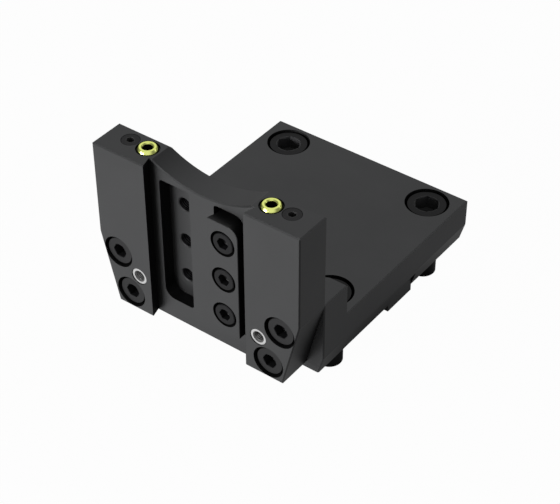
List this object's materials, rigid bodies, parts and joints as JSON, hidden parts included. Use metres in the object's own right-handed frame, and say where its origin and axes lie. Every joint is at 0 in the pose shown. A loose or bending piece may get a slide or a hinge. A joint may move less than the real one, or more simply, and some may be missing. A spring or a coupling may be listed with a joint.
{
  "type": "turret tool block",
  "caption": "Static lathe turret block that clamps a parting-off blade upright in an undercut channel beside a screwed wedge, bolted to the turret, with coolant nozzles in its pillars.",
  "frame": {"origin": "centre of the four mounting screws, on the face that sits on the turret", "axes": "+X across the block to the clamp's side, +Y from the tool head to the back of the base, +Z away from the turret; -Z is the way the mounting screws go into the turret"},
  "size_m": [0.104, 0.127, 0.1009],
  "materials": {
    "block_steel": "black oxide on fine ground steel, semi-gloss",
    "clamp_steel": "black oxide on fine ground steel, semi-gloss",
    "key_steel": "black oxide on ground steel, semi-gloss",
    "screw_steel": "black oxide alloy steel, satin",
    "plug_steel": "black oxide steel, satin",
    "dowel_steel": "bright ground steel",
    "nozzle_brass": "bright turned brass",
    "seal_rubber": "matt black rubber"
  },
  "bodies": {
    "block": {"base_block": "block_steel", "tool_head": "block_steel", "location_key": "key_steel", "head_screw_upper_left": "screw_steel", "head_screw_upper_right": "screw_steel", "head_screw_lower_left": "screw_steel", "head_screw_lower_right": "screw_steel", "mount_screw_front_left": "screw_steel", "mount_screw_front_right": "screw_steel", "mount_screw_rear_left": "screw_steel", "mount_screw_rear_right": "screw_steel", "key_screw_left": "screw_steel", "dowel_left": "dowel_steel", "coolant_plug_left": "plug_steel", "key_screw_right": "screw_steel", "dowel_right": "dowel_steel", "coolant_plug_right": "plug_steel", "joint_seal_left": "seal_rubber", "joint_seal_right": "seal_rubber", "inlet_seal_left": "seal_rubber", "inlet_seal_right": "seal_rubber", "nozzle_seal_left": "seal_rubber", "nozzle_seal_right": "seal_rubber"},
    "clamp": {"clamp_wedge": "clamp_steel"},
    "bottom_screw": {"clamp_screw_bottom": "screw_steel"},
    "middle_screw": {"clamp_screw_middle": "screw_steel"},
    "top_screw": {"clamp_screw_top": "screw_steel"},
    "nozzle_left": {"nozzle_ball_left": "nozzle_brass"},
    "nozzle_right": {"nozzle_ball_right": "nozzle_brass"}
  },
  "joints": [
    {"name": "clamp_slide", "type": "slide", "parent": "block", "child": "clamp", "axis": [0, -1, 0], "range_m": [0, 0.002]},
    {"name": "clamp_screw_bottom_turn", "type": "hinge", "parent": "clamp", "child": "bottom_screw", "pos_m": [0.0139, -0.0713, 0.025], "axis": [0, -1, 0], "range_deg": [0, 720]},
    {"name": "clamp_screw_middle_turn", "type": "hinge", "parent": "clamp", "child": "middle_screw", "pos_m": [0.0139, -0.0713, 0.0437], "axis": [0, -1, 0], "range_deg": [0, 720]},
    {"name": "clamp_screw_top_turn", "type": "hinge", "parent": "clamp", "child": "top_screw", "pos_m": [0.0139, -0.0713, 0.0624], "axis": [0, -1, 0], "range_deg": [0, 720]},
    {"name": "nozzle_left_tilt", "type": "hinge", "parent": "block", "child": "nozzle_left", "pos_m": [-0.031, -0.0678, 0.0815], "axis": [0, 1, 0], "range_deg": [-12, 12]},
    {"name": "nozzle_right_tilt", "type": "hinge", "parent": "block", "child": "nozzle_right", "pos_m": [0.031, -0.0678, 0.0815], "axis": [0, 1, 0], "range_deg": [-12, 12]}
  ],
  "couplings": [
    {"joint": "clamp_screw_bottom_turn", "follows": "clamp_slide", "rad_per_m": 6283.2},
    {"joint": "clamp_screw_middle_turn", "follows": "clamp_slide", "rad_per_m": 6283.2},
    {"joint": "clamp_screw_top_turn", "follows": "clamp_slide", "rad_per_m": 6283.2}
  ]
}
